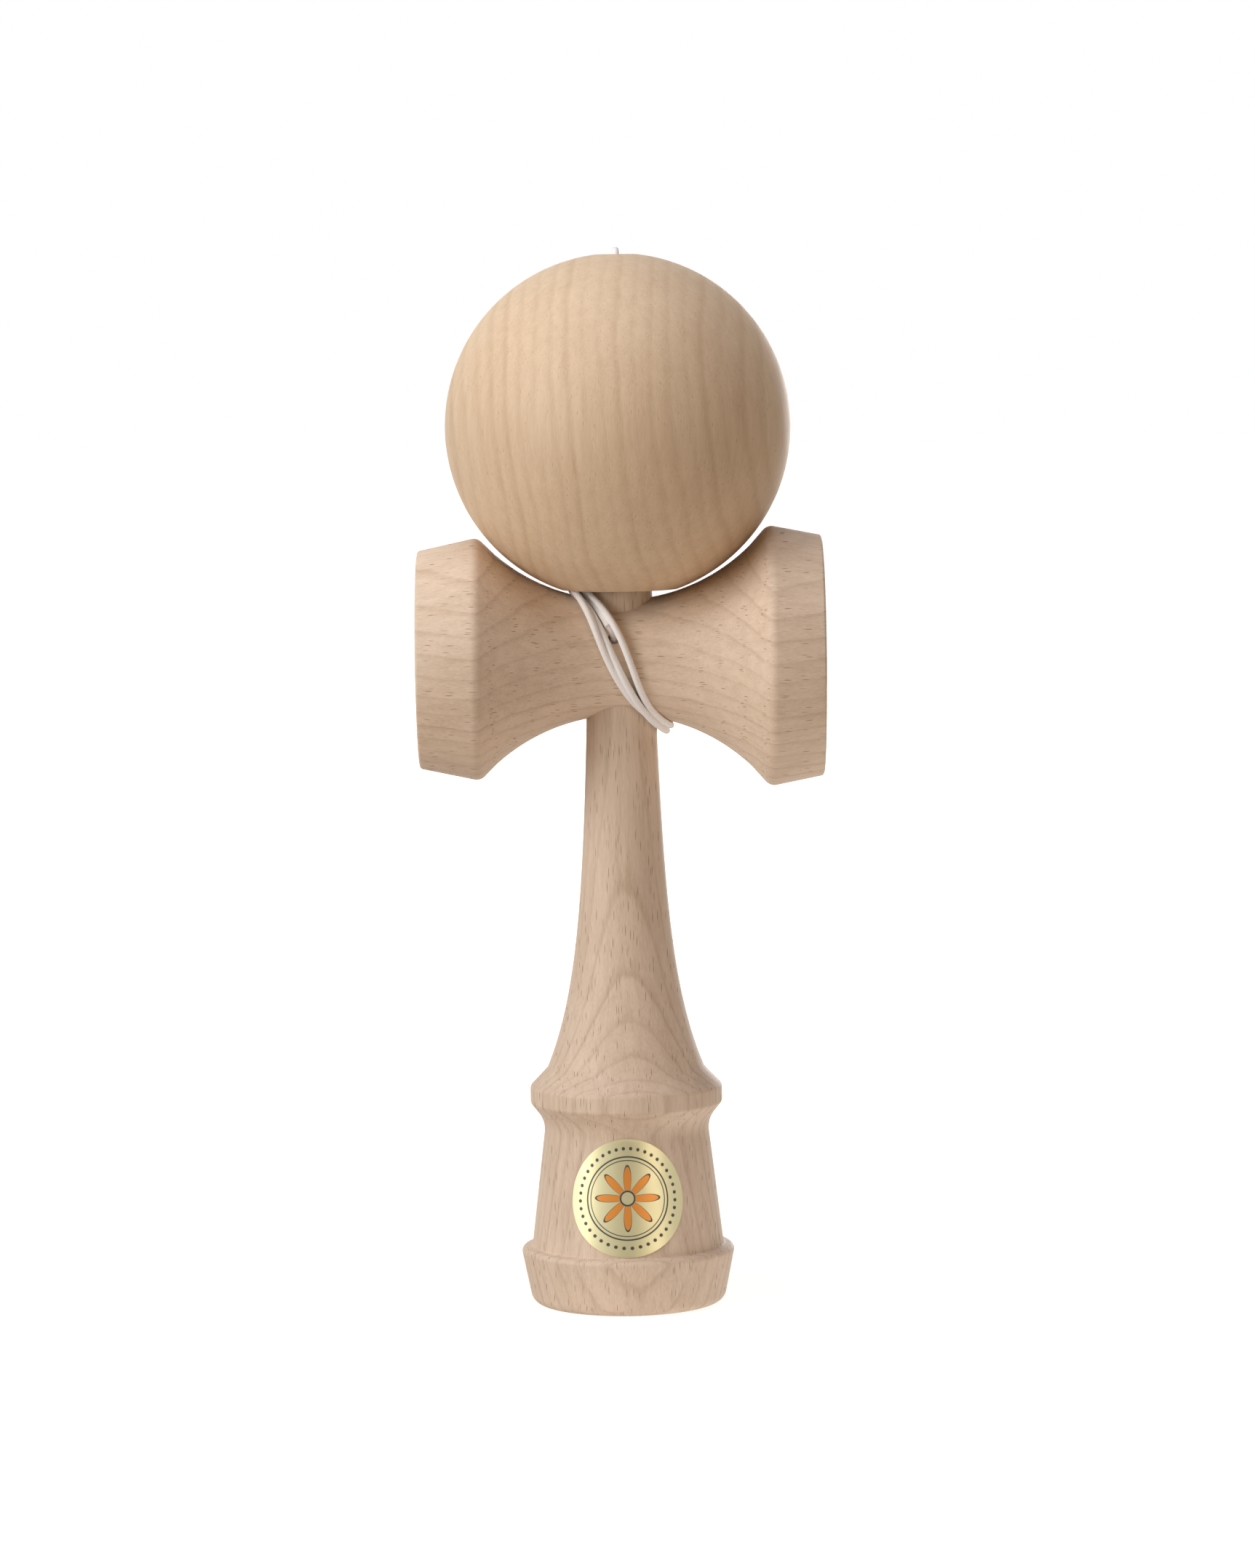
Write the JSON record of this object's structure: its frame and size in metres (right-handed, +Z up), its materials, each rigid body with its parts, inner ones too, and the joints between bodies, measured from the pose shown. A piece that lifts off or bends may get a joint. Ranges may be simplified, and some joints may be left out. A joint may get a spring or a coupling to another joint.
{
  "type": "kendama",
  "caption": "Wooden cup-and-ball toy: a turned handle with a spike and base cup, a cross-piece with two cups, and a drilled ball tied to it by a string.",
  "frame": {"origin": "centre of the ring that the base stands on, at the ground", "axes": "+Z up along the handle to the spike, +X to the big cup, -Y to the front with the seal and the string hole"},
  "size_m": [0.0704, 0.0615, 0.1848],
  "materials": {
    "handle_wood": "sanded, unfinished beech",
    "cross_wood": "sanded, unfinished beech",
    "ball_wood": "sanded, unfinished maple",
    "bead_wood": "turned, waxed",
    "foil": "satin pale gold foil on a self-adhesive film",
    "string": "fine braided cord"
  },
  "bodies": {
    "ken": {"ken": "handle_wood", "foil_seal": "foil"},
    "cross_piece": {"cross_piece": "cross_wood", "string_winding": "string", "anchor_knot": "string"},
    "string_end": {"bead": "bead_wood", "end_knot": "string", "string_tail": "string", "string_riser": "string"},
    "ball": {"ball": "ball_wood"}
  },
  "joints": [
    {"name": "cross_piece_pull", "type": "slide", "parent": "ken", "child": "cross_piece", "axis": [0, 0, 1], "range_m": [0, 0.055]},
    {"name": "ball_lift", "type": "slide", "parent": "cross_piece", "child": "string_end", "axis": [0, 0, 1], "range_m": [0, 0.045], "deforming": ["string_riser"]},
    {"name": "ball_spin", "type": "hinge", "parent": "string_end", "child": "ball", "pos_m": [0, 0, 0.1539], "axis": [0, 0, 1], "continuous": true}
  ]
}
